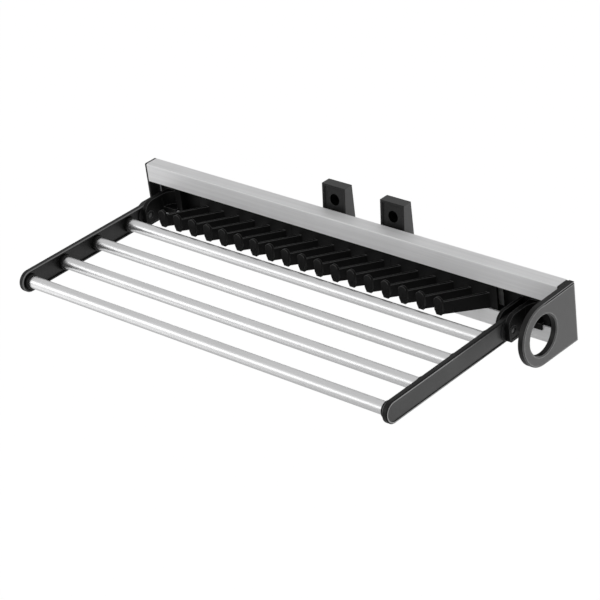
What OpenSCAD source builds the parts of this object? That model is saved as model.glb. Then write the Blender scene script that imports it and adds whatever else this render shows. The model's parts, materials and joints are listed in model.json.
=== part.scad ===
// Side-mounted pull-out trouser rack with a fold-down frame of four bars and a row of tie hooks.
// The origin lies on the wall plane, midway between the two wall screw holes.
// +X is the way the rack pulls out, +Y points into the wall and +Z is up.

/* [Carrier profile] */
// Length of the aluminium profile
profile_len = 452; // [420:1:520]
// Height of the profile
profile_h = 54.8; // [52:0.2:64]
// Depth of the profile, front to back
profile_d = 13.6; // [13:0.1:18]
// Wall thickness of the profile
profile_wall = 1.6; // [1.2:0.1:2.2]
// Height of the upper front lip
lip_top_h = 17.1; // [16:0.1:20]
// Height of the lower front lip
lip_low_h = 14.9; // [13:0.1:17]
// Radius on the profile's long outer edges
profile_edge_r = 1; // [0.4:0.1:1.4]

/* [Wall brackets] */
// Distance between the two wall screws
wall_hole_pitch = 64; // [48:1:96]
// Radius of the through hole for a wall screw
wall_hole_r = 2.6; // [2:0.1:3.2]
// Radius of the sunk seat for the wall screw's head
wall_seat_r = 5; // [4.6:0.1:6]
// Depth of that sunk seat
wall_seat_depth = 4.6; // [3:0.1:5.5]
// Width of a bracket
bracket_w = 25.5; // [22:0.5:32]
// Thickness of a bracket's head at its top
bracket_top_t = 9.2; // [8:0.1:10]
// Thickness of a bracket's head at its foot, where it sits on the slide
bracket_foot_t = 12.4; // [11:0.1:13]
// Height of the bracket above its screw hole
bracket_rise = 13; // [11:0.5:18]
// Thickness of the bracket's plate behind the slide
bracket_plate_t = 2.3; // [2:0.1:3]
// Width of the raised rim round the head's front
bracket_rim = 1.8; // [1:0.1:3]
// Depth of the pocket inside that rim
bracket_pocket = 1.2; // [0.6:0.1:2]

/* [Ball slide] */
// Length of the fixed rail
slide_len = 400; // [320:5:400]
// How far the rack pulls out
slide_travel = 380; // [280:5:380]
// Height of the fixed rail
rail_h = 35; // [35:0.5:38]
// Thickness of the whole slide between bracket and profile
slide_t = 12.7; // [12.7:0.1:14]
// Sheet thickness of the fixed and the inner rail
rail_sheet = 1.2; // [1:0.1:1.3]
// Sheet thickness of the middle rail
middle_sheet = 1.4; // [1.2:0.1:1.5]
// Radius of the balls
ball_r = 1.75; // [1.6:0.05:1.75]
// Balls in one row of a cage
balls_in_row = 8; // [4:1:12]
// Height of the curled lips' outer balls' centre line over the rail's web
ball_out = 4.5; // [4.4:0.05:4.6]

/* [Tie hooks] */
// Distance from the profile's left end to the first comb
row_in = 61; // [56:0.1:61]
// Combs in the row
comb_count = 3; // [1:1:3]
// Distance from hook to hook along the profile, which also sets how many hooks fit
hook_pitch = 18.3; // [16:0.05:19]
// Length of a hook from the comb's face to the back of its end plate
hook_len = 37.7; // [32:0.1:38]
// Angle by which the hooks point away from the pull-out direction
hook_swing = 39.5; // [20:0.5:40]
// How far a hook's upper edge falls to its tip
hook_fall = 1.1; // [0:0.1:3]
// Thickness of a hook
hook_t = 2.4; // [1.8:0.1:3.5]
// Height of a hook at the comb
hook_root_h = 13.7; // [10:0.1:13.7]
// Height of a hook at its end plate
hook_tip_h = 11; // [8:0.1:12]
// Width of a hook's end plate
tip_w = 8.2; // [6:0.1:9]
// Height of a hook's end plate
tip_h = 16; // [14:0.1:18]
// Thickness of a hook's end plate
tip_t = 2.4; // [2:0.1:3]

/* [Trouser frame] */
// Distance of the hinge pin in front of the profile
pivot_out = 18.7; // [16:0.1:22]
// Distance of the hinge pin below the profile's middle
pivot_drop = 12.1; // [11:0.1:14]
// Number of bars
tube_count = 4; // [2:1:5]
// Distance from bar to bar
tube_pitch = 40; // [32:0.5:50]
// Distance from the hinge pin to the nearest bar
tube_first = 21.9; // [21:0.1:30]
// Radius of a bar
tube_r = 5.5; // [5:0.1:6]
// Wall thickness of a bar
tube_wall = 1; // [0.8:0.1:2]
// Height of an arm
arm_h = 19.6; // [18:0.2:22]
// Thickness of an arm
arm_t = 5.2; // [5:0.1:7]
// Width of the raised rim round an arm's faces
arm_rim = 1.8; // [1.5:0.1:3]
// Depth of the panel inside the rim on an arm's outer face
arm_panel = 0.7; // [0.3:0.1:1.2]
// Depth of the pocket inside the rim on an arm's inner face
arm_pocket = 1.6; // [1:0.1:2]
// Length of the collar that holds a bar's end
collar_len = 3; // [3:0.1:8]
// Radius of that collar
collar_r = 7; // [6.8:0.1:9]

/* [Frame hinges] */
// Height of a hinge bracket's upper edge under the profile's upper lip
cheek_drop = 8.6; // [7:0.1:10]
// Distance from the hinge pin to a cheek's front edge
cheek_nose = 5.9; // [5:0.1:8]
// Radius of a cheek's upper front corner
cheek_nose_r = 10.8; // [8:0.1:11]
// Distance from the hinge pin down to a cheek's lower edge
cheek_foot = 8.9; // [8:0.1:10]
// Width of the raised rim round a cheek's outer face
cheek_rim = 1.8; // [1:0.1:2.5]
// Distance from the profile's left end to the left hinge
hinge_left_in = 3; // [2:0.5:10]
// Distance from the profile's right end to the right hinge
hinge_right_in = 30.8; // [20:0.1:40]
// Thickness of a hinge's left cheek
cheek_left_t = 2.8; // [2:0.1:4]
// Thickness of a hinge's right cheek
cheek_right_t = 4.2; // [3:0.1:5]
// Radius of a hinge pin
pin_r = 2.5; // [2:0.1:3]
// Radius of a friction washer
washer_r = 6; // [5:0.1:7]
// Thickness of a friction washer
washer_t = 0.4; // [0.3:0.1:0.8]

/* [End caps] */
// Thickness of the left end cap
left_cap_t = 2; // [1.5:0.1:4]
// Thickness of the ring pull over the profile's end
ring_t = 7.5; // [5:0.1:10]
// Thickness of the boss between the ring plate and the profile
ring_boss_t = 2; // [1:0.1:2.5]
// Outer radius of the ring
ring_r = 26; // [22:0.1:27]
// Height of the ring's centre over the profile's middle
ring_rise = 0.7; // [0:0.1:1.5]
// Distance of the ring's centre from the profile's back
ring_out = 43.6; // [38:0.5:55]
// Radius of the finger hole
ring_hole_r = 16.9; // [12:0.1:20]
// Bevel round the ring pull's edges
ring_bevel = 1; // [0.4:0.1:2]

/* [Hidden] */
$fn = 64;

// Overrun of every cut, and the clearances between pieces
over = 1;
seat_gap = 0.1;
slip_gap = 0.3;
pin_gap = 0.05;
race_gap = 0.25;

// Places of the profile
profile_shift = 14.5;
hole_over_profile = 6.6;
profile_back = -bracket_plate_t - slide_t;
profile_front = profile_back - profile_d;
profile_x0 = -profile_shift - profile_len / 2;
profile_x1 = profile_x0 + profile_len;
profile_top = -hole_over_profile;
profile_low = profile_top - profile_h;
profile_mid = (profile_top + profile_low) / 2;
mouth_top = profile_top - lip_top_h;
mouth_low = profile_low + lip_low_h;
inside_back = profile_back - profile_wall;
inside_front = profile_front + profile_wall;

// Places and sizes of the slide, from the wall outwards
race_r = ball_r + race_gap;
groove_d = 0.3;
cage_sheet = 0.6;
outer_web = -bracket_plate_t - rail_sheet;
outer_cage_web = outer_web - slip_gap - cage_sheet;
middle_web = outer_cage_web - slip_gap - rail_sheet;
inner_cage_web = middle_web - slip_gap - cage_sheet;
inner_flange_back = inner_cage_web - slip_gap;
inner_web = profile_back + rail_sheet;
ball_row_step = 1.6;
outer_ball_y = outer_web - ball_out;
inner_ball_y = outer_ball_y - ball_row_step;
outer_ball_z = rail_h / 2 - rail_sheet - race_r;
middle_flange_z = outer_ball_z - race_r + groove_d;
inner_ball_z = middle_flange_z - middle_sheet - race_r + groove_d;
inner_flange_z = inner_ball_z - race_r + groove_d;
buffer_t = 5;
moving_rail_x0 = -slide_len / 2 + buffer_t + slip_gap;
moving_rail_len = slide_len / 2 - moving_rail_x0;
cage_x0 = moving_rail_x0 + slide_travel / 4 + slip_gap;
cage_len = slide_len - slide_travel / 2 - buffer_t - 4 * slip_gap;
end_margin = 8;
rail_screw_in = 12.2;
rail_screw_r = 2;
rail_head_r = 3.6;
rail_head_t = 1.6;
rail_head_share = 0.8;
screw_end = 1.2;
nut_r = 4;
nut_t = 3.2;

// Rivets through the brackets' plates
rivet_r = 2.2;
rivet_head_r = 3.4;
rivet_z_share = 0.25;

// Sizes of the comb strip and of the hinge brackets' bases behind the profile's mouth
strip_t = 2;
strip_lap = 3;
leg_t = 1.6;
strip_face = inside_front + seat_gap;
strip_back = strip_face + strip_t;
strip_top = mouth_top + strip_lap;
strip_low = mouth_low - strip_lap;
leg_back = inside_back - seat_gap;
side_gap = washer_t + 2 * seat_gap;
clevis_w = cheek_left_t + cheek_right_t + arm_t + 2 * side_gap;
base_ear = 17.2;
right_room = hinge_right_in + clevis_w + base_ear;
hooks_per_comb = floor((profile_len - row_in - right_room) / (comb_count * hook_pitch));
comb_len = hooks_per_comb * hook_pitch;
row_len = comb_count * comb_len;
row_x0 = profile_x0 + row_in;
rail_screw_pitch = row_x0 + row_len - rail_screw_in;
hook_top_drop = 8.8;
hook_top = mouth_top - hook_top_drop;
tip_above = 4.1;
tip_shift = 2.6;
tip_foot_share = 0.6;
tip_straight_share = 0.74;

// Sizes of the hinge brackets and the frame
pivot_y = profile_front - pivot_out;
pivot_z = profile_mid - pivot_drop;
clevis_left_x = profile_x0 + hinge_left_in;
clevis_right_x = profile_x1 - hinge_right_in - clevis_w;
cheek_top = mouth_top - cheek_drop;
cheek_low = pivot_z - cheek_foot;
low_cheek_drop = 5;
low_cheek_top = cheek_top - low_cheek_drop;
cheek_front = pivot_y - cheek_nose;
cheek_corner_r = 3;
cheek_back = profile_front - slip_gap;
cheek_recess = 0.7;
cheek_ring_r = 4.4;
fillet_r = 11;
ledge_t = 1.6;
ledge_low = mouth_low + seat_gap;
clip_t = 1.2;
clip_h = 4;
clip_front = profile_front - seat_gap - clip_t;
base_t = 2.2;
base_back = leg_back;
base_front = base_back - base_t;
base_low = profile_low + profile_wall + slip_gap;
rib_in = 13.8;
rib_w = 6.6;
base_screw_in = 7.5;
base_screw_r = 2;
base_screw_head_r = 3.4;
base_screw_drop = 6;
pin_recess = 0.8;
stop_pin_r = 1.8;
stop_pin_in = 22.6;
stop_pin_rise = 3;
stop_pin_y = pivot_y + stop_pin_in;
stop_pin_z = pivot_z + stop_pin_rise;
heel_y = stop_pin_y + stop_pin_r;
heel_low = stop_pin_z + stop_pin_r + slip_gap;
arm_left_x = clevis_left_x + cheek_left_t + side_gap;
arm_right_x = clevis_right_x + cheek_left_t + side_gap;
arm_r = arm_h / 2;
arm_bevel = 0.8;
arm_len = tube_first + (tube_count - 1) * tube_pitch;
panel_start = washer_r + seat_gap;
socket_depth = collar_len + arm_t / 2;
tube_x0 = arm_left_x + arm_t + collar_len - socket_depth + seat_gap;
tube_x1 = arm_right_x - collar_len + socket_depth - seat_gap;

// Sizes of the end caps
ring_y = profile_back - ring_out;
ring_z = profile_mid + ring_rise;
ring_plate_t = ring_t - ring_boss_t;
cap_end = profile_x1 + ring_t;
cap_inset = 0.3;
pull_rise = 1.5;
spigot_len = 4;
spigot_gap = 0.15;
cap_edge = 0.5;

// Extrudes an outline drawn in true Y and Z along X.
module along_x(x0, len)
    translate([x0, 0, 0])
        rotate([90, 0, 90])
            linear_extrude(len)
                children();

// Extrudes an outline drawn in true X and Z towards the viewer.
module along_front(y0, len)
    translate([0, y0, 0])
        rotate([90, 0, 0])
            linear_extrude(len)
                children();

// A rectangle between two corners
module span(a, b)
    translate([min(a[0], b[0]), min(a[1], b[1])])
        square([abs(b[0] - a[0]), abs(b[1] - a[1])]);

// A box between two corners
module block(a, b)
    translate([min(a[0], b[0]), min(a[1], b[1]), min(a[2], b[2])])
        cube([abs(b[0] - a[0]), abs(b[1] - a[1]), abs(b[2] - a[2])]);

// A round bar along X
module rod_x(x0, y, z, r, len)
    translate([x0, y, z])
        rotate([0, 90, 0])
            cylinder(r = r, h = len);

// A round bar or cone that starts at y0 and runs towards the viewer
module rod_front(x, y0, z, r0, r1, len)
    translate([x, y0, z])
        rotate([90, 0, 0])
            cylinder(r1 = r0, r2 = r1, h = len);

// Bracket screwed to the wall: a wedge head with a sunk screw seat, and a plate behind the slide
module bracket(x) {
    rail_top = profile_mid + rail_h / 2;
    plate_low = profile_mid - rail_h / 2;
    slope = (bracket_foot_t - bracket_top_t) / (bracket_rise - rail_top);
    pocket_top = bracket_rise - bracket_rim;
    pocket_low = rail_top + bracket_rim;
    color("dimgray")
        difference() {
            union() {
                along_x(x - bracket_w / 2, bracket_w)
                    polygon([[0, rail_top], [0, bracket_rise], [-bracket_top_t, bracket_rise],
                        [-bracket_foot_t, rail_top]]);
                block([x - bracket_w / 2, 0, bracket_rise], [x + bracket_w / 2, -bracket_plate_t, plate_low]);
            }
            along_x(x - bracket_w / 2 + bracket_rim, bracket_w - 2 * bracket_rim)
                polygon([[-bracket_top_t - (bracket_rise - pocket_top) * slope + bracket_pocket, pocket_top],
                    [-bracket_foot_t - over, pocket_top],
                    [-bracket_foot_t - over, pocket_low],
                    [-bracket_foot_t + (pocket_low - rail_top) * slope + bracket_pocket, pocket_low]]);
            rod_front(x, over, 0, wall_hole_r, wall_hole_r, bracket_foot_t + 2 * over);
            rod_front(x, wall_seat_depth - bracket_foot_t, 0, wall_seat_r, wall_seat_r, bracket_foot_t);
            for (side = [-1, 1])
                rivet_cut(x, profile_mid + side * rail_h * rivet_z_share);
        }
}

// Hole for a flush rivet through the plate and the fixed rail
module rivet_cut(x, z) {
    rod_front(x, over, z, rivet_r + pin_gap, rivet_r + pin_gap, bracket_plate_t + rail_sheet + 2 * over);
    rod_front(x, 0, z, rivet_head_r + pin_gap, rivet_r + pin_gap, rivet_head_r - rivet_r);
    rod_front(x, outer_web + rivet_head_r - rivet_r, z, rivet_r + pin_gap, rivet_head_r + pin_gap,
        rivet_head_r - rivet_r);
}

// Flush rivets that hold the fixed rail on the two brackets
module bracket_rivets() {
    color("silver")
        for (x = [-1, 1] * wall_hole_pitch / 2, side = [-1, 1]) {
            z = profile_mid + side * rail_h * rivet_z_share;
            rod_front(x, 0, z, rivet_r, rivet_r, bracket_plate_t + rail_sheet);
            rod_front(x, 0, z, rivet_head_r, rivet_r, rivet_head_r - rivet_r);
            rod_front(x, outer_web + rivet_head_r - rivet_r, z, rivet_r, rivet_head_r,
                rivet_head_r - rivet_r);
        }
}

// Quarter ring that curls round a row of balls, from above the ball to in front of it
module curl(y, z, r_out)
    translate([y, z])
        intersection() {
            difference() {
                circle(r_out);
                circle(race_r);
            }
            translate([-r_out, 0])
                square([r_out, r_out]);
        }

// Both halves of a rail's section, mirrored about the slide's middle
module mirrored()
    translate([0, profile_mid])
        for (side = [0, 1])
            mirror([0, side])
                children();

// Fixed rail with curled lips
module outer_rail() {
    color("lightsteelblue")
        difference() {
            along_x(-slide_len / 2, slide_len)
                mirrored() {
                    span([-bracket_plate_t, 0], [outer_web, rail_h / 2]);
                    span([-bracket_plate_t, rail_h / 2 - rail_sheet], [outer_ball_y, rail_h / 2]);
                    curl(outer_ball_y, outer_ball_z, rail_h / 2 - outer_ball_z);
                }
            for (x = [-1, 1] * wall_hole_pitch / 2, side = [-1, 1])
                rivet_cut(x, profile_mid + side * rail_h * rivet_z_share);
        }
}

// Moulded stop that the moving rails meet when the rack is closed
module rail_buffer() {
    buffer_half = middle_flange_z - slip_gap;
    color("dimgray")
        block([-slide_len / 2, outer_web - seat_gap, profile_mid - buffer_half],
            [-slide_len / 2 + buffer_t, inner_ball_y, profile_mid + buffer_half]);
}

// Bent strip with a hole for each ball
module ball_cage(web, y, z) {
    pitch = (cage_len - 2 * end_margin) / (balls_in_row - 1);
    half = z + cage_sheet / 2;
    color("silver")
        difference() {
            along_x(cage_x0, cage_len)
                mirrored() {
                    span([web, 0], [web + cage_sheet, half]);
                    span([web + cage_sheet, half - cage_sheet], [y - race_r + slip_gap, half]);
                }
            for (i = [0 : balls_in_row - 1])
                translate([cage_x0 + end_margin + i * pitch, y, profile_mid - rail_h / 2])
                    cylinder(r = ball_r + seat_gap, h = rail_h);
        }
}

// Two rows of balls
module balls(y, z) {
    pitch = (cage_len - 2 * end_margin) / (balls_in_row - 1);
    color("white")
        for (i = [0 : balls_in_row - 1], side = [-1, 1])
            translate([cage_x0 + end_margin + i * pitch, y, profile_mid + side * z])
                sphere(ball_r);
}

// Middle rail: a groove above its flange for the outer balls, a curled lip for the inner ones
module middle_rail() {
    color("lightsteelblue")
        along_x(moving_rail_x0, moving_rail_len)
            mirrored() {
                span([middle_web + rail_sheet, 0], [middle_web, middle_flange_z]);
                difference() {
                    span([middle_web + rail_sheet, middle_flange_z - middle_sheet],
                        [inner_ball_y, middle_flange_z]);
                    translate([outer_ball_y, outer_ball_z])
                        circle(race_r);
                    translate([inner_ball_y, inner_ball_z])
                        circle(race_r);
                }
                curl(inner_ball_y, inner_ball_z, middle_flange_z - inner_ball_z);
            }
}

// Inner rail, fixed to the back of the profile
module inner_rail() {
    color("lightsteelblue")
        difference() {
            along_x(moving_rail_x0, moving_rail_len)
                mirrored()
                    difference() {
                        union() {
                            span([profile_back, 0], [inner_web, inner_flange_z]);
                            span([profile_back, inner_flange_z - rail_sheet],
                                [inner_flange_back, inner_flange_z]);
                        }
                        translate([inner_ball_y, inner_ball_z])
                            circle(race_r);
                    }
            for (i = [-1 : 1])
                rod_front(i * rail_screw_pitch, inner_web + over, profile_mid, rail_screw_r + seat_gap,
                    rail_screw_r + seat_gap, rail_sheet + 2 * over);
        }
}

// Screws that clamp the inner rail to the profile
module rail_screws() {
    shank_len = rail_sheet + profile_wall + nut_t + screw_end;
    color("silver")
        for (i = [-1 : 1]) {
            rod_front(i * rail_screw_pitch, inner_web + rail_head_t, profile_mid,
                rail_head_r * rail_head_share, rail_head_r, rail_head_t);
            rod_front(i * rail_screw_pitch, inner_web, profile_mid, rail_screw_r, rail_screw_r, shank_len);
        }
}

// Hexagon nuts on those screws, inside the profile
module rail_nuts() {
    color("silver")
        for (i = [-1 : 1])
            translate([i * rail_screw_pitch, inside_back, profile_mid])
                rotate([90, 0, 0])
                    difference() {
                        cylinder(r = nut_r, h = nut_t, $fn = 6);
                        translate([0, 0, -over])
                            cylinder(r = rail_screw_r + pin_gap, h = nut_t + 2 * over);
                    }
}

// Outer outline of the profile, with rounded long edges
module profile_outline(inset) {
    r = profile_edge_r;
    a = [profile_front + inset, profile_low + inset];
    b = [profile_back - inset, profile_top - inset];
    span([a[0] + r, a[1]], [b[0] - r, b[1]]);
    span([a[0], a[1] + r], [b[0], b[1] - r]);
    for (y = [a[0] + r, b[0] - r], z = [a[1] + r, b[1] - r])
        translate([y, z])
            circle(r);
}

// Anodised C profile, open at the front between its two lips
module carrier_profile() {
    color("gainsboro")
        difference() {
            along_x(profile_x0, profile_len)
                difference() {
                    profile_outline(0);
                    span([inside_front, profile_low + profile_wall],
                    [inside_back, profile_top - profile_wall]);
                    span([profile_front - over, mouth_low], [inside_front + over, mouth_top]);
                }
            for (i = [-1 : 1])
                rod_front(i * rail_screw_pitch, profile_back + over, profile_mid, rail_screw_r + seat_gap,
                    rail_screw_r + seat_gap, profile_wall + 2 * over);
            for (x = [clevis_left_x, clevis_right_x], side = [-1, 1])
                rod_front(x + clevis_w + base_screw_in, profile_back + over,
                    profile_mid + side * base_screw_drop, base_screw_r + seat_gap,
                    base_screw_r + seat_gap, profile_wall + 2 * over);
        }
}

// Strip behind the profile's mouth, with two legs that rest on the back wall
module strip(x0, len)
    along_x(x0, len) {
        span([strip_face, strip_low], [strip_back, strip_top]);
        span([strip_face, strip_low], [leg_back, strip_low + leg_t]);
        span([strip_face, strip_top - leg_t], [leg_back, strip_top]);
    }

// Outline of a hook's end plate, about the hook's axis
module tip_outline() {
    top = tip_above - hook_fall;
    low = top - tip_h;
    waist = top - tip_h * tip_straight_share;
    translate([-tip_shift, 0]) {
        translate([0, top - tip_w / 2])
            circle(tip_w / 2);
        polygon([[-tip_w / 2, top - tip_w / 2], [tip_w / 2, top - tip_w / 2], [tip_w / 2, waist],
            [tip_w / 2 * tip_foot_share, low], [-tip_w / 2 * tip_foot_share, low],
            [-tip_w / 2, waist]]);
    }
}

// One hook: a tapered plate on edge with an end plate that keeps a tie from slipping off
module hook(x)
    translate([x, strip_face, hook_top]) {
        rotate([0, 0, -hook_swing])
            along_x(-hook_t / 2, hook_t)
                polygon([[strip_t / 2, 0], [-hook_len - tip_t / 2, -hook_fall],
                    [-hook_len - tip_t / 2, -hook_fall - hook_tip_h], [strip_t / 2, -hook_root_h]]);
        translate([-hook_len * sin(hook_swing), 0, 0])
            along_front(-hook_len * cos(hook_swing), tip_t)
                tip_outline();
    }

// Comb: a length of strip with its hooks
module hook_comb(index) {
    x0 = row_x0 + index * comb_len;
    color([0.12, 0.12, 0.12]) {
        strip(x0 + seat_gap, comb_len - 2 * seat_gap);
        for (i = [0 : hooks_per_comb - 1])
            hook(x0 + (i + 1 / 2) * hook_pitch);
    }
}

// Thin cap that closes the profile's left end
module left_end_cap() {
    color("gray") {
        along_x(profile_x0 - left_cap_t, left_cap_t)
            profile_outline(0);
        cap_spigots(profile_x0 - cap_edge, profile_x0 + spigot_len);
    }
}

// Blocks on an end cap that plug into the profile above and below the combs
module cap_spigots(x0, x1) {
    for (z = [[profile_top - profile_wall - spigot_gap, strip_top + spigot_gap],
        [profile_low + profile_wall + spigot_gap, strip_low - spigot_gap]])
        block([x0, inside_front + spigot_gap, z[0]], [x1, inside_back - spigot_gap, z[1]]);
}

// Side outline of the ring pull, from the profile's end to the ring's middle
module pull_outline(inset)
    polygon([[profile_back - inset, profile_low + pull_rise + inset],
        [profile_back - inset, profile_top - cap_inset - inset],
        [ring_y, ring_z + ring_r - inset], [ring_y, ring_z - ring_r + inset]]);

// Ring pull: closes the right end and reaches forward to a finger ring
module ring_pull() {
    plate_x = profile_x1 + ring_boss_t;
    color("dimgray")
        difference() {
            union() {
                along_x(plate_x, ring_plate_t - ring_bevel)
                    pull_outline(0);
                along_x(plate_x, ring_plate_t)
                    pull_outline(ring_bevel);
                rod_x(plate_x, ring_y, ring_z, ring_r, ring_plate_t - ring_bevel);
                translate([cap_end - ring_bevel, ring_y, ring_z])
                    rotate([0, 90, 0])
                        cylinder(r1 = ring_r, r2 = ring_r - ring_bevel, h = ring_bevel);
                along_x(profile_x1, ring_boss_t + cap_edge)
                    profile_outline(cap_inset);
                cap_spigots(profile_x1 - spigot_len, profile_x1 + cap_edge);
            }
            rod_x(profile_x1 - over, ring_y, ring_z, ring_hole_r, ring_t + 2 * over);
            translate([cap_end - ring_bevel, ring_y, ring_z])
                rotate([0, 90, 0])
                    cylinder(r1 = ring_hole_r, r2 = ring_hole_r + ring_bevel + over, h = ring_bevel + over);
        }
}

// Side outline of a hinge cheek, from its round nose back through the profile's mouth
module cheek_outline(top) {
    polygon([[base_back, top], [cheek_front + cheek_nose_r, top],
        [cheek_front, top - cheek_nose_r],
        [cheek_front, cheek_low + cheek_corner_r], [cheek_front + cheek_corner_r, cheek_low],
        [cheek_back, cheek_low], [cheek_back, mouth_low + seat_gap],
        [strip_face, mouth_low + seat_gap], [strip_face, strip_low], [base_back, strip_low]]);
    translate([cheek_front + cheek_nose_r, top - cheek_nose_r])
        circle(cheek_nose_r);
    translate([cheek_front + cheek_corner_r, cheek_low + cheek_corner_r])
        circle(cheek_corner_r);
}

// Recess in a cheek's outer face, inside its rim, with a ring left round the pin
module cheek_panel() {
    difference() {
        union() {
            polygon([[cheek_back - cheek_rim, cheek_top - cheek_rim],
                [cheek_front + cheek_nose_r, cheek_top - cheek_rim],
                [cheek_front + cheek_rim, cheek_top - cheek_nose_r],
                [cheek_front + cheek_rim, cheek_low + cheek_corner_r],
                [cheek_front + cheek_corner_r, cheek_low + cheek_rim],
                [cheek_back - cheek_rim, cheek_low + cheek_rim]]);
            translate([cheek_front + cheek_nose_r, cheek_top - cheek_nose_r])
                circle(cheek_nose_r - cheek_rim);
        }
        translate([pivot_y, pivot_z])
            circle(cheek_ring_r);
    }
}

// Hinge bracket: a base on the profile's back wall with two cheeks, a fillet, a ledge that clips
// over the lower lip and an end rib
module hinge_bracket(x, base_x0, base_x1, left_top) {
    face_x = x + clevis_w;
    color([0.14, 0.14, 0.14])
        difference() {
            union() {
                block([base_x0, base_back, base_low], [base_x1, base_front, strip_top]);
                along_x(x, cheek_left_t)
                    cheek_outline(left_top);
                along_x(face_x - cheek_right_t, cheek_right_t)
                    cheek_outline(cheek_top);
                difference() {
                    block([face_x - cap_edge, base_back, ledge_low],
                        [face_x + fillet_r, base_front - fillet_r, cheek_top]);
                    translate([face_x + fillet_r, base_front - fillet_r, ledge_low - over])
                        cylinder(r = fillet_r, h = cheek_top - ledge_low + 2 * over);
                }
                block([face_x - cap_edge, base_back, ledge_low],
                    [face_x + rib_in + cap_edge, clip_front, ledge_low + ledge_t]);
                block([face_x - cap_edge, clip_front, ledge_low - clip_h],
                    [face_x + rib_in + cap_edge, profile_front - seat_gap, ledge_low + ledge_t]);
                block([face_x + rib_in, base_back, strip_low],
                    [face_x + rib_in + rib_w, strip_face, strip_top]);
            }
            along_x(face_x - cheek_recess, cheek_recess + over)
                cheek_panel();
            rod_x(x - over, pivot_y, pivot_z, pin_r + pin_gap, clevis_w + 2 * over);
            rod_x(x - over, stop_pin_y, stop_pin_z, stop_pin_r + pin_gap, clevis_w + 2 * over);
            for (side = [-1, 1]) {
                zs = profile_mid + side * base_screw_drop;
                rod_front(face_x + base_screw_in, base_back + over, zs, base_screw_r + seat_gap,
                    base_screw_r + seat_gap, base_t + 2 * over);
                rod_front(face_x + base_screw_in, base_front + base_screw_head_r - base_screw_r, zs,
                    base_screw_r + seat_gap, base_screw_head_r + seat_gap, base_screw_head_r - base_screw_r);
            }
        }
}

// Countersunk screws that hold the hinge brackets in the profile
module hinge_bracket_screws() {
    head_d = base_screw_head_r - base_screw_r;
    color("silver")
        for (x = [clevis_left_x, clevis_right_x], side = [-1, 1]) {
            xs = x + clevis_w + base_screw_in;
            zs = profile_mid + side * base_screw_drop;
            rod_front(xs, profile_back - seat_gap, zs, base_screw_r, base_screw_r,
                profile_back - base_front - seat_gap);
            rod_front(xs, base_front + head_d, zs, base_screw_r, base_screw_head_r, head_d);
        }
}

// Hinge pins, one through each bracket and arm
module hinge_pins() {
    color("silver")
        for (x = [clevis_left_x, clevis_right_x])
            rod_x(x + pin_recess, pivot_y, pivot_z, pin_r, clevis_w - 2 * pin_recess);
}

// Stop pins under the arms' heels, which keep the frame from folding above level
module stop_pins() {
    color("silver")
        for (x = [clevis_left_x, clevis_right_x])
            rod_x(x + pin_recess, stop_pin_y, stop_pin_z, stop_pin_r, clevis_w - 2 * pin_recess);
}

// Spring washers on both sides of each arm, whose friction holds the frame up
module hinge_washers() {
    color("silver")
        for (x = [arm_left_x, arm_right_x], place = [-seat_gap - washer_t, arm_t + seat_gap])
            difference() {
                rod_x(x + place, pivot_y, pivot_z, washer_r, washer_t);
                rod_x(x + place - over, pivot_y, pivot_z, pin_r + pin_gap, washer_t + 2 * over);
            }
}

// Outline of the panel in an arm's face, in true Y and Z
module arm_panel_outline() {
    span([pivot_y - panel_start, pivot_z - arm_r + arm_rim], [pivot_y - arm_len, pivot_z + arm_r - arm_rim]);
    translate([pivot_y - arm_len, pivot_z])
        circle(arm_r - arm_rim);
}

// Beam of an arm with bevelled edges and a round tip
module arm_beam(x) {
    along_front(pivot_y, arm_len)
        polygon([[x + arm_bevel, pivot_z - arm_r], [x, pivot_z - arm_r + arm_bevel],
            [x, pivot_z + arm_r - arm_bevel], [x + arm_bevel, pivot_z + arm_r],
            [x + arm_t - arm_bevel, pivot_z + arm_r], [x + arm_t, pivot_z + arm_r - arm_bevel],
            [x + arm_t, pivot_z - arm_r + arm_bevel], [x + arm_t - arm_bevel, pivot_z - arm_r]]);
    translate([x, pivot_y - arm_len, pivot_z])
        rotate([0, 90, 0]) {
            cylinder(r1 = arm_r - arm_bevel, r2 = arm_r, h = arm_bevel);
            translate([0, 0, arm_bevel])
                cylinder(r = arm_r, h = arm_t - 2 * arm_bevel);
            translate([0, 0, arm_t - arm_bevel])
                cylinder(r1 = arm_r, r2 = arm_r - arm_bevel, h = arm_bevel);
        }
}

// Arm: outer_side is -1 where the frame's outside faces -X, and 1 where it faces +X
module arm(x, outer_side) {
    outer_x = outer_side < 0 ? x - over : x + arm_t - arm_panel;
    inner_x = outer_side < 0 ? x + arm_t - arm_pocket : x - over;
    collar_x = outer_side < 0 ? x + arm_t - arm_pocket : x - collar_len;
    socket_x = outer_side < 0 ? x + arm_t + collar_len - socket_depth : x - collar_len - over;
    color("dimgray")
        difference() {
            union() {
                difference() {
                    arm_beam(x);
                    along_x(outer_x, arm_panel + over)
                        arm_panel_outline();
                    along_x(inner_x, arm_pocket + over)
                        arm_panel_outline();
                }
                rod_x(x, pivot_y, pivot_z, arm_r, arm_t);
                block([x, pivot_y, heel_low], [x + arm_t, heel_y, pivot_z + arm_r]);
                for (i = [0 : tube_count - 1])
                    rod_x(collar_x, tube_y(i), pivot_z, collar_r, collar_len + arm_pocket);
            }
            rod_x(x - over, pivot_y, pivot_z, pin_r + pin_gap, arm_t + 2 * over);
            for (i = [0 : tube_count - 1])
                rod_x(socket_x, tube_y(i), pivot_z, tube_r + seat_gap, socket_depth + over);
        }
}

// Y of a bar's axis, counted from the one nearest the hinge
function tube_y(i) = pivot_y - tube_first - i * tube_pitch;

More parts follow.
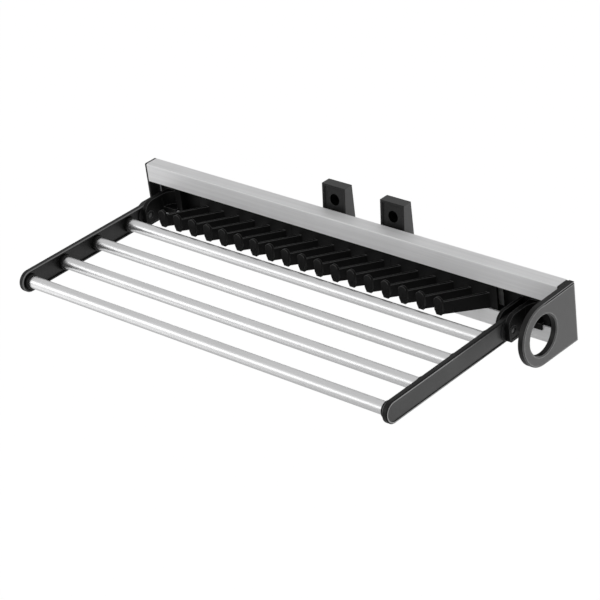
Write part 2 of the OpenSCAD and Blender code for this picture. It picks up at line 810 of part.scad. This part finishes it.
// Hollow aluminium bar; bar 1 is the outermost
module bar(number) {
    if (number <= tube_count)
        color("gainsboro")
            difference() {
                rod_x(tube_x0, tube_y(tube_count - number), pivot_z, tube_r, tube_x1 - tube_x0);
                rod_x(tube_x0 - over, tube_y(tube_count - number), pivot_z, tube_r - tube_wall,
                    tube_x1 - tube_x0 + 2 * over);
            }
}

bracket(-wall_hole_pitch / 2);  // bracket_left
bracket(wall_hole_pitch / 2);  // bracket_right
bracket_rivets();
outer_rail();
rail_buffer();
ball_cage(outer_cage_web, outer_ball_y, outer_ball_z);  // outer_ball_cage
balls(outer_ball_y, outer_ball_z);  // outer_balls
middle_rail();
ball_cage(inner_cage_web, inner_ball_y, inner_ball_z);  // inner_ball_cage
balls(inner_ball_y, inner_ball_z);  // inner_balls
inner_rail();
rail_screws();
rail_nuts();
carrier_profile();
hook_comb(0);  // hook_comb_left
hook_comb(1);  // hook_comb_middle
hook_comb(2);  // hook_comb_right
left_end_cap();
ring_pull();
hinge_bracket(clevis_left_x, profile_x0 + spigot_len + slip_gap, row_x0 - seat_gap,  // hinge_bracket_left
        low_cheek_top);
hinge_bracket(clevis_right_x, clevis_right_x - base_ear, profile_x1 - spigot_len - slip_gap,  // hinge_bracket_right
        cheek_top);
hinge_bracket_screws();
hinge_pins();
stop_pins();  // hinge_stop_pins
hinge_washers();
arm(arm_left_x, -1);  // arm_left
arm(arm_right_x, 1);  // arm_right
bar(1);  // bar_1
bar(2);  // bar_2
bar(3);  // bar_3
bar(4);  // bar_4
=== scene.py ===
# %% [markdown]
# # A pull-out trouser rack, dressed for its portrait
#
# The rack hangs on the side wall of a wardrobe. Two small brackets hold a ball-bearing slide,
# the slide carries an aluminium profile, and the profile carries a comb of tie hooks, a finger
# ring and a fold-down frame of four round bars. Every piece is rigid and already modelled, so
# this script does two things: it sets up the camera, the floor and the lamps, and it gives each
# piece the finish that it has on the real rack.
#
# We start by loading the finished pieces. They come in metres, each at its place, so nothing has
# to be fitted. We also keep the box round the whole rack, to compare it with the dressed rack at
# the end.

# %% Load the rack
import json
import math

import bmesh
import bpy
from mathutils import Matrix, Vector


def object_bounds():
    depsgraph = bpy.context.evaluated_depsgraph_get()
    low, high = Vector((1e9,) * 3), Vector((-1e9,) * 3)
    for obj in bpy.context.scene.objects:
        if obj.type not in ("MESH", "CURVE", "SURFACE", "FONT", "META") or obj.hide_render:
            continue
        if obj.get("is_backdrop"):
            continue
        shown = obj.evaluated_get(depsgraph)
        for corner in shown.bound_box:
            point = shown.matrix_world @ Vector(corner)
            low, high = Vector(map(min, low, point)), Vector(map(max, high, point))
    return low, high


MM = 0.001

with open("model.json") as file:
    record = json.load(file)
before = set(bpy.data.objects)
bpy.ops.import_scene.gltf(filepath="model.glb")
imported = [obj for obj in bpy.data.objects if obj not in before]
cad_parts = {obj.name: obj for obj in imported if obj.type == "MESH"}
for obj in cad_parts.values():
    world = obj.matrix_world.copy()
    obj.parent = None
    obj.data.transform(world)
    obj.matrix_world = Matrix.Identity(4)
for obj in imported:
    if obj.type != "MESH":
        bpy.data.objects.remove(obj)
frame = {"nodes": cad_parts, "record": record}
nodes = frame["nodes"]
bare_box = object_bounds()
print("pieces loaded:", len(nodes))
print("rack size in mm:", [round((b - a) / MM, 1) for a, b in zip(*bare_box)])

# %% [markdown]
# ## The camera
#
# The photograph was taken from the front right and a little above, with a long lens: the bars
# stay nearly parallel. A camera is a place, a direction and a roll. We could turn it to a target
# point, but that leaves the roll out, and the photograph is tilted a little. So we read the
# direction as two angles, how far round the rack we stand and how far above it, build the
# camera's three axes from those, and tilt them by the roll.

# %% Camera
VIEW_AROUND = math.radians(45.04)
VIEW_ABOVE = math.radians(28.76)
VIEW_ROLL = math.radians(-7.40)
CAMERA_PLACE = Vector((1159.1, -1255.3, 854.4)) * MM
LENS = 136.64
SENSOR_WIDTH = 36
NEAR_LIMIT = 0.05
FAR_LIMIT = 50

forward = Vector((-math.sin(VIEW_AROUND) * math.cos(VIEW_ABOVE),
                  math.cos(VIEW_AROUND) * math.cos(VIEW_ABOVE),
                  -math.sin(VIEW_ABOVE)))
level_right = Vector((math.cos(VIEW_AROUND), math.sin(VIEW_AROUND), 0))
level_up = level_right.cross(forward)
right = level_right * math.cos(VIEW_ROLL) + level_up * math.sin(VIEW_ROLL)
up = right.cross(forward)
turn = Matrix((right, up, -forward)).transposed().to_4x4()

camera_data = bpy.data.cameras.new("camera")
camera_data.lens = LENS
camera_data.sensor_width = SENSOR_WIDTH
camera_data.clip_start = NEAR_LIMIT
camera_data.clip_end = FAR_LIMIT
camera = bpy.data.objects.new("camera", camera_data)
camera.matrix_world = Matrix.Translation(CAMERA_PLACE) @ turn
bpy.context.scene.collection.objects.link(camera)
bpy.context.scene.camera = camera
print("camera looks along", [round(v, 3) for v in forward])

# %% [markdown]
# ## Sums with nodes
#
# Floor, sky and finishes all need small sums inside their shaders: the larger of two values, a
# product, a comparison. Each sum is a Math node. One helper that makes the node and fills its
# inputs, from another node or from a number, keeps the later cells short.

# %% Sums
def maths(tree, operation, *values):
    """One sum; each value is a number or another node's output."""
    node = tree.nodes.new("ShaderNodeMath")
    node.operation = operation
    for socket, value in zip(node.inputs, values):
        if isinstance(value, (int, float)):
            socket.default_value = value
        else:
            tree.links.new(value, socket)
    return node.outputs[0]


# %% [markdown]
# ## White for the camera only
#
# A catalogue picture stands on pure white. A white room would do that, but it would flood the
# rack with light and wash out its greys. So floor and sky get two shaders each: a white one for
# the rays that see, and a soft grey one for the rays that light the rack or are mirrored in it.
# The Light Path node tells the two kinds of ray apart.

# %% White for the camera
def seen_rays(tree):
    """1 for camera and transmission rays, 0 for all the rays that light the rack."""
    path = tree.nodes.new("ShaderNodeLightPath")
    return maths(tree, "MAXIMUM", path.outputs["Is Camera Ray"], path.outputs["Is Transmission Ray"])


def grey_shader(tree, kind, grey, strength=None):
    """A shader node of one grey, with a strength where it glows."""
    node = tree.nodes.new(kind)
    node.inputs["Color"].default_value = (grey, grey, grey, 1)
    if strength is not None:
        node.inputs["Strength"].default_value = strength
    return node


def split_by_ray(tree, seen_share, lit, seen, output_kind):
    """Shows the seen shader by its share, and the lit one for the rest."""
    mix = tree.nodes.new("ShaderNodeMixShader")
    out = tree.nodes.new(output_kind)
    tree.links.new(seen_share, mix.inputs[0])
    tree.links.new(lit.outputs[0], mix.inputs[1])
    tree.links.new(seen.outputs[0], mix.inputs[2])
    tree.links.new(mix.outputs[0], out.inputs["Surface"])


# %% [markdown]
# ## Floor
#
# The floor lies well below the rack, because the rack hangs on a wall. For the camera it glows
# white, but a small share of it stays matt, so the rack's faint shadow is kept.

# %% Floor
FLOOR_Z = -0.6
FLOOR_HALF = 6
FLOOR_CELLS = 8
FLOOR_GREY = 0.7
FLOOR_GLOW = 1.02
SEEN_SHARE = 0.97


def make_floor():
    bm = bmesh.new()
    bmesh.ops.create_grid(bm, x_segments=FLOOR_CELLS, y_segments=FLOOR_CELLS, size=FLOOR_HALF)
    bmesh.ops.translate(bm, verts=bm.verts, vec=(0, 0, FLOOR_Z))
    mesh = bpy.data.meshes.new("floor")
    bm.to_mesh(mesh)
    bm.free()
    floor = bpy.data.objects.new("floor", mesh)
    bpy.context.scene.collection.objects.link(floor)
    material = bpy.data.materials.new("pale floor")
    material.use_nodes = True
    tree = material.node_tree
    tree.nodes.clear()
    matt = grey_shader(tree, "ShaderNodeBsdfDiffuse", FLOOR_GREY)
    glow = grey_shader(tree, "ShaderNodeEmission", 1, FLOOR_GLOW)
    share = maths(tree, "MULTIPLY", seen_rays(tree), SEEN_SHARE)
    split_by_ray(tree, share, matt, glow, "ShaderNodeOutputMaterial")
    mesh.materials.append(material)
    return floor


make_floor()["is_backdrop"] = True
print("floor below the wall screws in mm:", round(-FLOOR_Z / MM))

# %% [markdown]
# ## Sky
#
# The sky works the same way: white where the camera sees it, and a soft grey for the light that
# falls from it. The Standard view shows colours as they are, so white stays white.

# %% Sky
SKY_LIGHT = 0.62


def light_the_sky():
    world = bpy.data.worlds.new("studio")
    bpy.context.scene.world = world
    world.use_nodes = True
    tree = world.node_tree
    tree.nodes.clear()
    lit = grey_shader(tree, "ShaderNodeBackground", 1, SKY_LIGHT)
    shown = grey_shader(tree, "ShaderNodeBackground", 1, 1)
    split_by_ray(tree, seen_rays(tree), lit, shown, "ShaderNodeOutputWorld")


light_the_sky()
bpy.context.scene.view_settings.view_transform = "Standard"
print("sky light:", SKY_LIGHT)

# %% [markdown]
# ## Lamps
#
# Four soft boxes do it. The right box and the wall box stand behind the rack on the right, both
# low: they make the right faces of the ring, the right arm and the brackets a little lighter
# than the rest. A small lamp close to the arm would do the same at rest, but the rack slides
# towards it when it is pulled out, and the bars would turn white there. So both are large and
# stand well away. The front box, at the front left, draws the bright band along each bar. The
# left box, low on the left, is mirrored in the profile's front lip, which is why the profile is
# lightest at its far end.

# %% Lamps
# Each row: name, place, the point that it is turned to, width and height, power in watts
LAMPS = (
    ("right box", (0.75, 0.33, -0.46), (0.2, -0.22, -0.05), (0.7, 0.7), 2.3),
    ("wall box", (0.5, 0.5, -0.33), (0.03, -0.01, 0.03), (1.1, 0.8), 1.2),
    ("front box", (-0.84, -1.06, 0.38), (0, -0.17, -0.05), (1.4, 0.5), 2.6),
    ("left box", (-0.8, -0.65, -0.35), (-0.2, -0.03, -0.03), (0.6, 0.5), 0.6),
)


def soft_box(name, place, target, size, watts):
    lamp = bpy.data.lights.new(name, "AREA")
    lamp.shape = "RECTANGLE"
    lamp.size, lamp.size_y = size
    lamp.energy = watts
    box = bpy.data.objects.new(name, lamp)
    box.location = place
    box.rotation_mode = "QUATERNION"
    box.rotation_quaternion = (Vector(target) - Vector(place)).to_track_quat("-Z", "Y")
    box.visible_camera = False
    bpy.context.scene.collection.objects.link(box)


for row in LAMPS:
    soft_box(*row)
print("lamps:", [row[0] for row in LAMPS])

# %% [markdown]
# ## A plain finish
#
# Every finish starts from one Principled shader with its plain values on its own sockets: the
# colour, how rough it is, how metallic, and how strongly it mirrors. The patterns of the next
# cells then make these values vary.

# %% Plain finish
def new_finish(name, colour, roughness, metallic=0.0, specular=0.5):
    material = bpy.data.materials.new(name)
    material.use_nodes = True
    shader = material.node_tree.nodes["Principled BSDF"]
    shader.inputs["Base Color"].default_value = (*colour, 1)
    shader.inputs["Roughness"].default_value = roughness
    shader.inputs["Metallic"].default_value = metallic
    shader.inputs["Specular IOR Level"].default_value = specular
    return material


# %% [markdown]
# ## Patterns
#
# A pattern could be a picture wrapped round the piece, but a noise pattern needs no wrapping and
# stays sharp from near by. All patterns read Object coordinates, so they stay put when a piece
# slides or folds. A stretch across two axes turns the noise into lines along the third.

# %% Patterns
EVEN = (1, 1, 1)


def object_place(tree, stretch=EVEN):
    """Object coordinates, stretched by a factor on each axis."""
    coordinates = tree.nodes.new("ShaderNodeTexCoord")
    mapping = tree.nodes.new("ShaderNodeMapping")
    mapping.inputs["Scale"].default_value = stretch
    tree.links.new(coordinates.outputs["Object"], mapping.inputs["Vector"])
    return mapping.outputs["Vector"]


def axes_of(tree, vector):
    """The X, Y and Z parts of a vector."""
    split = tree.nodes.new("ShaderNodeSeparateXYZ")
    tree.links.new(vector, split.inputs[0])
    return split.outputs


def noise(tree, scale, detail, stretch=EVEN):
    node = tree.nodes.new("ShaderNodeTexNoise")
    node.inputs["Scale"].default_value = scale
    node.inputs["Detail"].default_value = detail
    tree.links.new(object_place(tree, stretch), node.inputs["Vector"])
    return node.outputs["Fac"]


# %% [markdown]
# ## Ramps
#
# A ramp turns a pattern into the colours, or the numbers, between its stops. It has two stops
# when it is made, so we add the missing ones first and then set them all.

# %% Ramps
def ramp(tree, value, stops):
    """A ramp with (place, colour) or (place, number) stops."""
    node = tree.nodes.new("ShaderNodeValToRGB")
    while len(node.color_ramp.elements) < len(stops):
        node.color_ramp.elements.new(0.5)
    for element, (place, tone) in zip(node.color_ramp.elements, stops):
        colour = (tone, tone, tone) if isinstance(tone, (int, float)) else tone
        element.position = place
        element.color = (*colour, 1)
    tree.links.new(value, node.inputs["Fac"])
    return node.outputs["Color"]


# %% [markdown]
# ## Colour and gloss that vary
#
# No moulded, plated or drawn surface has one colour all over. These helpers let the colour run
# between a darker and a lighter shade of itself, let the gloss wander, and lay a second colour
# over the first by an amount that another pattern gives. Noise values gather round the middle,
# so the ramps span only the middle of its range.

# %% Colour and gloss
LOW, HIGH = 0.3, 0.7


def shade(colour, factor):
    return tuple(c * factor for c in colour)


def vary_colour(tree, pattern, colour, darkest, lightest, low=LOW):
    stops = [(low, shade(colour, darkest)), (HIGH, shade(colour, lightest))]
    tree.links.new(ramp(tree, pattern, stops), tree.nodes["Principled BSDF"].inputs["Base Color"])


def vary_gloss(tree, pattern, smoothest, roughest):
    gloss = ramp(tree, pattern, [(LOW, smoothest), (HIGH, roughest)])
    tree.links.new(gloss, tree.nodes["Principled BSDF"].inputs["Roughness"])


def blend_in(tree, amount, colour):
    """Mixes a second colour into the base colour by an amount from 0 to 1."""
    base = tree.nodes["Principled BSDF"].inputs["Base Color"]
    blend = tree.nodes.new("ShaderNodeMixRGB")
    blend.inputs["Color2"].default_value = (*colour, 1)
    tree.links.new(amount, blend.inputs["Fac"])
    tree.links.new(base.links[0].from_socket, blend.inputs["Color1"])
    tree.links.new(blend.outputs["Color"], base)


# %% [markdown]
# ## Fine bumps and rounded edges
#
# A Bump node tilts the light on the surface as fine grain would. The loaded pieces have sharp
# edges, which a mould or a deburring wheel rounds on the real ones. A bevel on the mesh would
# change its shape, so a Bevel node rounds the edges for the light only.

# %% Bumps and edges
EDGE_SAMPLES = 6


def rounded_edges(tree, radius):
    rounded = tree.nodes.new("ShaderNodeBevel")
    rounded.samples = EDGE_SAMPLES
    rounded.inputs["Radius"].default_value = radius
    return rounded.outputs["Normal"]


def bump(tree, height, depth, strength, edge):
    """Adds a fine bump of a depth in metres, on rounded edges where edge isn't 0."""
    node = tree.nodes.new("ShaderNodeBump")
    node.inputs["Distance"].default_value = depth
    node.inputs["Strength"].default_value = strength
    tree.links.new(height, node.inputs["Height"])
    if edge:
        tree.links.new(rounded_edges(tree, edge), node.inputs["Normal"])
    tree.links.new(node.outputs["Normal"], tree.nodes["Principled BSDF"].inputs["Normal"])


# %% [markdown]
# ## Anodised aluminium
#
# The profile is extruded and the bars are drawn, so they carry long, very fine lines along
# their length, under a satin anodised skin. The lines and the darker streaks are noise patterns
# that are packed tightly across the length. The bars are smoother than the profile and mirror
# more.

# %% Aluminium finishes
PROFILE_COLOUR = (0.86, 0.86, 0.865)
BAR_COLOUR = (0.85, 0.85, 0.855)


def drawn_aluminium(name, colour, roughness, metal_share, streak_share, line_depth, edge):
    material = new_finish(name, colour, roughness, metallic=metal_share)
    tree = material.node_tree
    lines = noise(tree, scale=12, detail=1, stretch=(1, 60, 60))
    streaks = noise(tree, scale=12, detail=3, stretch=(0.5, 30, 30))
    vary_colour(tree, noise(tree, scale=18, detail=2), colour, 0.96, 1.03)
    blend_in(tree, ramp(tree, streaks, [(0.35, 0), (0.65, streak_share)]), shade(colour, 0.75))
    vary_gloss(tree, lines, roughness - 0.02, roughness + 0.03)
    bump(tree, lines, line_depth, 1.0, edge)
    return material


profile_finish = drawn_aluminium("satin profile aluminium", PROFILE_COLOUR, roughness=0.55,
                                 metal_share=0.45, streak_share=0.25, line_depth=0.002 * MM,
                                 edge=0.3 * MM)
bar_finish = drawn_aluminium("satin bar aluminium", BAR_COLOUR, roughness=0.37, metal_share=1.0,
                             streak_share=0.05, line_depth=0.0001 * MM, edge=0)
print("aluminium:", [finish.name for finish in (profile_finish, bar_finish)])

# %% [markdown]
# ## Moulded plastics
#
# Hooks and hinges are black, the arms, the caps and the finger ring dark grey. All come out of
# a mould with a fine spark-eroded grain: a small bump, and a gloss that varies a little. The
# rubber stop inside the slide has the same kind of surface, only duller and coarser.

# %% Plastic finishes
BLACK = (0.006, 0.006, 0.006)
DARK_GREY = (0.03, 0.03, 0.03)
RING_GREY = (0.07, 0.07, 0.07)
RUBBER_BLACK = (0.02, 0.02, 0.02)


def moulded_plastic(name, colour, roughness, grain, specular=0.22):
    material = new_finish(name, colour, roughness, specular=specular)
    tree = material.node_tree
    clouds = noise(tree, scale=60, detail=3)
    vary_colour(tree, clouds, colour, 0.85, 1.15)
    vary_gloss(tree, clouds, roughness - 0.04, roughness + 0.05)
    bump(tree, noise(tree, scale=2600, detail=2), 0.04 * MM, grain, edge=0.5 * MM)
    return material


black_finish = moulded_plastic("black moulded plastic", BLACK, 0.45, grain=0.12, specular=0.1)
ring_finish = moulded_plastic("grey moulded plastic", RING_GREY, 0.42, grain=0.1)
rubber_finish = moulded_plastic("black rubber", RUBBER_BLACK, 0.7, grain=0.5)
print("plastics:", [finish.name for finish in (black_finish, ring_finish, rubber_finish)])

# %% [markdown]
# ## Painted highlights on edges
#
# In the photograph the upper edges of the black hooks and the rims of the grey ring show as
# thin pale lines, where they catch the light. These lines are painted highlights: a lighter colour
# laid into the finish. We could cut the lines out as faces of their own, but an edge can be found
# in the shader: there the surface's own direction and its rounded one differ. The hooks get the
# painted highlight only on edges that look up, towards the light.

# %% Painted edge highlights
# Painted highlights: the lighter colours laid on the hooks' upper edges and the ring's rims
HOOK_EDGE_HIGHLIGHT = (0.12, 0.12, 0.12)
RING_EDGE_HIGHLIGHT = (0.35, 0.35, 0.35)
# How well the two directions agree: all edge below the first stop, all face above the second
EDGE_HIGHLIGHT_STOPS = [(0.88, 1), (0.99, 0)]
# How much an edge looks up: too little below the first stop, enough above the second
UPWARD_HIGHLIGHT_STOPS = [(0.05, 0), (0.35, 1)]


# Lays a painted highlight on edges, only on edges that look up where up_only is set
def paint_edge_highlights(material, radius, edge_highlight_colour, up_only=False):
    tree = material.node_tree
    rounded = rounded_edges(tree, radius)
    surface = tree.nodes.new("ShaderNodeNewGeometry")
    agree = tree.nodes.new("ShaderNodeVectorMath")
    agree.operation = "DOT_PRODUCT"
    tree.links.new(rounded, agree.inputs[0])
    tree.links.new(surface.outputs["Normal"], agree.inputs[1])
    amount = ramp(tree, agree.outputs["Value"], EDGE_HIGHLIGHT_STOPS)
    if up_only:
        looks_up = ramp(tree, axes_of(tree, rounded)["Z"], UPWARD_HIGHLIGHT_STOPS)
        amount = maths(tree, "MULTIPLY", amount, looks_up)
    blend_in(tree, amount, edge_highlight_colour)


# Painted highlights on the black pieces' upward edges and on the ring's rims
paint_edge_highlights(black_finish, 0.8 * MM, HOOK_EDGE_HIGHLIGHT, up_only=True)
paint_edge_highlights(ring_finish, 2.5 * MM, RING_EDGE_HIGHLIGHT)
print("light edges on:", [finish.name for finish in (black_finish, ring_finish)])

# %% [markdown]
# ## Painted shade on the sides
#
# Only the flat right face of the ring is grey in the photograph, its narrow sides are nearly
# black, because they lie in shade. That shade is painted into the colour of the sides. A face is
# told by the true direction of its surface. The share of that direction along X stays the same
# when the rack slides or folds, so the finish looks right at every pose.

# %% Painted shade on the sides
# Painted shade on the ring's sides
RING_SIDE_SHADE = (0.01, 0.01, 0.01)


def looks_along(tree, axis):
    """How much a surface looks along one axis, from -1 to 1."""
    surface = tree.nodes.new("ShaderNodeNewGeometry")
    return axes_of(tree, surface.outputs["True Normal"])[axis]


def paint_side_shade(material, side_shade_colour, full, none):
    """Paints shade on what doesn't look along X: fully below one share of X, not at all above the
    other.
    """
    tree = material.node_tree
    share = maths(tree, "ABSOLUTE", looks_along(tree, "X"))
    blend_in(tree, ramp(tree, share, [(full, 1), (none, 0)]), side_shade_colour)


# Painted shade on the ring's sides and on the wall of its hole
paint_side_shade(ring_finish, RING_SIDE_SHADE, full=0.5, none=0.6)
print("dark sides on:", ring_finish.name)

# %% [markdown]
# ## Painted highlights and shade on an arm
#
# Each arm is a flat bar of grey plastic with a shallow panel sunk in its outer face and a deeper
# pocket in its inner one. The raised rim of the outer face gets a painted highlight, lightest
# towards the front end, so it is found by its place: the outermost X of the arm, and a fade along
# Y. The inner face gets painted shade, and the pale slanted edge round it a painted highlight, so
# both are found by their direction.

# %% Arm helpers
RIM_TOLERANCE = 0.25 * MM
RIM_HIGHLIGHT_FADE_FROM = -70 * MM
RIM_HIGHLIGHT_FADE_TO = -130 * MM
# The inner face looks inward by nearly the whole share
INNER_SHADE_STOPS = [(0.9, 0), (0.95, 1)]
# The slanted edge looks inward by a middle share
INNER_EDGE_HIGHLIGHT_STOPS = [(0.4, 0), (0.5, 1), (0.85, 1), (0.93, 0)]


# Painted highlight on the outer rim, fading along Y
def paint_rim_highlight(material, place_x, colour):
    tree = material.node_tree
    place = axes_of(tree, object_place(tree))
    near = maths(tree, "COMPARE", place["X"], place_x, RIM_TOLERANCE)
    along = tree.nodes.new("ShaderNodeMapRange")
    along.inputs["From Min"].default_value = RIM_HIGHLIGHT_FADE_FROM
    along.inputs["From Max"].default_value = RIM_HIGHLIGHT_FADE_TO
    tree.links.new(place["Y"], along.inputs["Value"])
    blend_in(tree, maths(tree, "MULTIPLY", near, along.outputs["Result"]), colour)


# Painted shade on the inner face, painted highlight on its slanted edge
def paint_inner_shade_and_highlight(material, inward_sign, inner_shade_colour, edge_highlight_colour):
    tree = material.node_tree
    inward = maths(tree, "MULTIPLY", looks_along(tree, "X"), inward_sign)
    blend_in(tree, ramp(tree, inward, INNER_SHADE_STOPS), inner_shade_colour)
    blend_in(tree, ramp(tree, inward, INNER_EDGE_HIGHLIGHT_STOPS), edge_highlight_colour)


# %% [markdown]
# ## The two arms
#
# The outer face lies at the least X of the left arm and at the greatest X of the right one. One
# finish can't fit both, so each arm gets its own, which reads that place from the arm's mesh.

# %% Arm finishes
# Painted highlight on the rim and the inner edge, painted shade on the sides and the inner face
ARM_RIM_HIGHLIGHT = (0.3, 0.3, 0.3)
ARM_SIDE_SHADE = (0.008, 0.008, 0.008)
ARM_INNER_SHADE = (0.012, 0.012, 0.012)
ARM_INNER_EDGE_HIGHLIGHT = (0.2, 0.2, 0.2)

arm_finishes = {}
for name, outermost, inward_sign in (("arm_left", min, 1), ("arm_right", max, -1)):
    outer_x = outermost(vertex.co.x for vertex in nodes[name].data.vertices)
    finish = moulded_plastic("dark grey moulded plastic " + name, DARK_GREY, 0.42, grain=0.1)
    paint_rim_highlight(finish, outer_x, ARM_RIM_HIGHLIGHT)
    paint_side_shade(finish, ARM_SIDE_SHADE, full=0.75, none=0.85)
    paint_inner_shade_and_highlight(finish, inward_sign, ARM_INNER_SHADE, ARM_INNER_EDGE_HIGHLIGHT)
    arm_finishes[name] = finish
    print(name, "has its outer face at x in mm:", round(outer_x / MM, 1))

# %% [markdown]
# ## Zinc-plated slide
#
# The slide is bent from zinc-plated strip: dull grey, with the small cloudy cells in which zinc
# grows. A Voronoi pattern gives cells, and a noise that is pulled out along the strip gives the
# gloss.

# %% Zinc finish
ZINC_COLOUR = (0.42, 0.43, 0.44)


def zinc_plate():
    material = new_finish("zinc plated steel", ZINC_COLOUR, 0.45, metallic=1.0)
    tree = material.node_tree
    cells = tree.nodes.new("ShaderNodeTexVoronoi")
    cells.inputs["Scale"].default_value = 260
    tree.links.new(object_place(tree), cells.inputs["Vector"])
    clouds = noise(tree, scale=90, detail=4, stretch=(0.3, 1, 1))
    vary_colour(tree, cells.outputs["Distance"], ZINC_COLOUR, 0.92, 1.06, low=0.0)
    vary_gloss(tree, clouds, 0.4, 0.52)
    bump(tree, clouds, 0.05 * MM, 0.2, edge=0.3 * MM)
    return material


zinc_finish = zinc_plate()
print("slide:", zinc_finish.name)

# %% [markdown]
# ## Pins and balls
#
# The hinges' pins, washers and screws are blackened, and the balls are polished. All carry a
# thin film of oil, which is a noise pattern in their colour and a very shallow bump.

# %% Pin and ball finishes
PIN_COLOUR = (0.035, 0.035, 0.036)
BALL_COLOUR = (0.7, 0.7, 0.71)


def blackened_steel():
    material = new_finish("blackened steel", PIN_COLOUR, 0.35, specular=0.4)
    tree = material.node_tree
    film = noise(tree, scale=320, detail=3)
    vary_colour(tree, film, PIN_COLOUR, 0.8, 1.2)
    vary_gloss(tree, film, 0.3, 0.42)
    bump(tree, film, 0.02 * MM, 0.15, edge=0.3 * MM)
    return material


def polished_steel():
    material = new_finish("polished ball steel", BALL_COLOUR, 0.1, metallic=1.0)
    tree = material.node_tree
    film = noise(tree, scale=400, detail=2)
    vary_colour(tree, film, BALL_COLOUR, 0.92, 1.04)
    bump(tree, film, 0.01 * MM, 0.1, edge=0)
    return material


pin_finish = blackened_steel()
ball_finish = polished_steel()
print("small steel parts:", [finish.name for finish in (pin_finish, ball_finish)])

# %% [markdown]
# ## Coated wall brackets
#
# The brackets are coated dark grey, with the faint orange peel of powder coat: a bump that is
# wider than a mould's grain. Their fronts lie in shade and look darker than their sides in the
# photograph, so they get painted shade. The brackets never move, so a front can be told by how
# much it looks along Y.

# %% Bracket finish
COAT_COLOUR = (0.055, 0.055, 0.055)
# Painted shade on the fronts
FRONT_SHADE = (0.016, 0.016, 0.016)
FRONT_SHADE_STOPS = [(0.8, 0), (0.95, 1)]


def powder_coat():
    material = new_finish("dark powder coat", COAT_COLOUR, 0.45, specular=0.25)
    tree = material.node_tree
    clouds = noise(tree, scale=50, detail=3)
    vary_colour(tree, clouds, COAT_COLOUR, 0.85, 1.15)
    vary_gloss(tree, clouds, 0.4, 0.5)
    bump(tree, noise(tree, scale=700, detail=2), 0.06 * MM, 0.35, edge=0.4 * MM)
    # Painted shade on the fronts, which look along Y
    front = maths(tree, "ABSOLUTE", looks_along(tree, "Y"))
    blend_in(tree, ramp(tree, front, FRONT_SHADE_STOPS), FRONT_SHADE)
    return material


bracket_finish = powder_coat()
print("brackets:", bracket_finish.name)

# %% [markdown]
# ## Painted shade in the screw seats
#
# The sunk seat of each wall screw lies in shade and is nearly black in the photograph, with nothing
# glinting in it, so it gets painted shade and no gloss.
# Both seats belong to the brackets' own solids, so they are found by their distance from the
# screw's axis. The two screws mirror each other, so the X of a point without its sign serves
# both.

# %% Screw seats
WALL_SCREW_X = 32 * MM
SEAT_REACH = 5.1 * MM
# Painted shade in the sunk seats
SEAT_SHADE = (0.002, 0.002, 0.002)


def paint_seat_shade(material, colour):
    tree = material.node_tree
    place = axes_of(tree, object_place(tree))
    off_axis = maths(tree, "SUBTRACT", maths(tree, "ABSOLUTE", place["X"]), WALL_SCREW_X)
    flat = tree.nodes.new("ShaderNodeCombineXYZ")
    tree.links.new(off_axis, flat.inputs["X"])
    tree.links.new(place["Z"], flat.inputs["Z"])
    reach = tree.nodes.new("ShaderNodeVectorMath")
    reach.operation = "LENGTH"
    tree.links.new(flat.outputs[0], reach.inputs[0])
    inside = maths(tree, "LESS_THAN", reach.outputs["Value"], SEAT_REACH)
    # Painted shade inside the seat, and its gloss taken away
    blend_in(tree, inside, colour)
    gloss = tree.nodes["Principled BSDF"].inputs["Specular IOR Level"]
    full = gloss.default_value
    tree.links.new(maths(tree, "MULTIPLY_ADD", inside, -full, full), gloss)


paint_seat_shade(bracket_finish, SEAT_SHADE)
print("screw seats at x in mm:", [round(side * WALL_SCREW_X / MM) for side in (-1, 1)])

# %% [markdown]
# ## Giving each piece its finish
#
# The record names a finish slot for every piece, so a small table from slot to finish is nearly
# all we need. Within the grey slot the ring is a shade lighter and each arm has its own finish;
# the left end cap shares the right arm's.

# %% Assign finishes
FINISHES = {
    "bracket": bracket_finish,
    "zinc": zinc_finish,
    "buffer": rubber_finish,
    "cage": zinc_finish,
    "ball": ball_finish,
    "profile": profile_finish,
    "black_plastic": black_finish,
    "grey_plastic": arm_finishes["arm_right"],
    "pin_steel": pin_finish,
    "bar": bar_finish,
}
for part in frame["record"]["subparts"]:
    piece = nodes[part["node"]]
    piece.data.materials.clear()
    piece.data.materials.append(FINISHES[part["material_slot"]])
nodes["ring_pull"].data.materials[0] = ring_finish
nodes["arm_left"].data.materials[0] = arm_finishes["arm_left"]
print("finishes used:", len(set(m.name for o in nodes.values() for m in o.data.materials)))

# %% [markdown]
# ## Last step
#
# We note the box of the bare rack and of the dressed one, which should agree because only
# finishes were added.

# %% Finish
dressed_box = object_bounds()
grown = max(abs(a - b) for bare, dressed in zip(bare_box, dressed_box) for a, b in zip(bare, dressed))
print("dressed rack differs from the bare one by mm:", round(grown / MM, 3))
